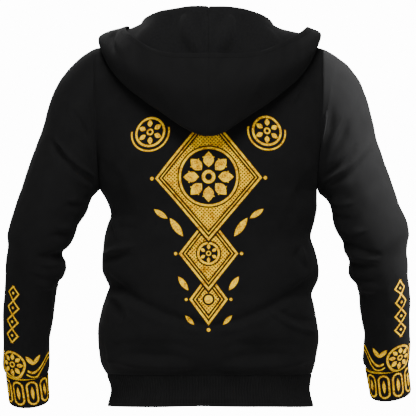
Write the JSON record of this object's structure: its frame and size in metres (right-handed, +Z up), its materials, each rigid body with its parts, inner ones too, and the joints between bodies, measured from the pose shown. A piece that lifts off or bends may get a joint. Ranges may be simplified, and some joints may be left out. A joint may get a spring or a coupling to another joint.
{
  "type": "hooded sweatshirt",
  "caption": "Pullover hooded sweatshirt in its worn form, hollow, with set-in sleeves, hood lying down on the back, ribbed cuffs and hem band, and a gold ornament on black fleece.",
  "frame": {"origin": "middle of the neck opening, level with the tops of the shoulders, where the wearer's neck and shoulders hold the garment", "axes": "+Z up, +Y out of the front, +X to the wearer's right"},
  "size_m": [0.7181, 0.3121, 0.703],
  "materials": {
    "fleece": "smooth jersey face, brushed inside, black with gold ornament in places",
    "rib": "rib knit, black",
    "thread": "sewing thread, black"
  },
  "bodies": {
    "root": {"back": "fleece", "front": "fleece", "sleeve_left": "fleece", "sleeve_right": "fleece", "hood_left": "fleece", "hood_right": "fleece", "cuff_left": "rib", "cuff_right": "rib", "hem_band": "rib"}
  },
  "joints": []
}
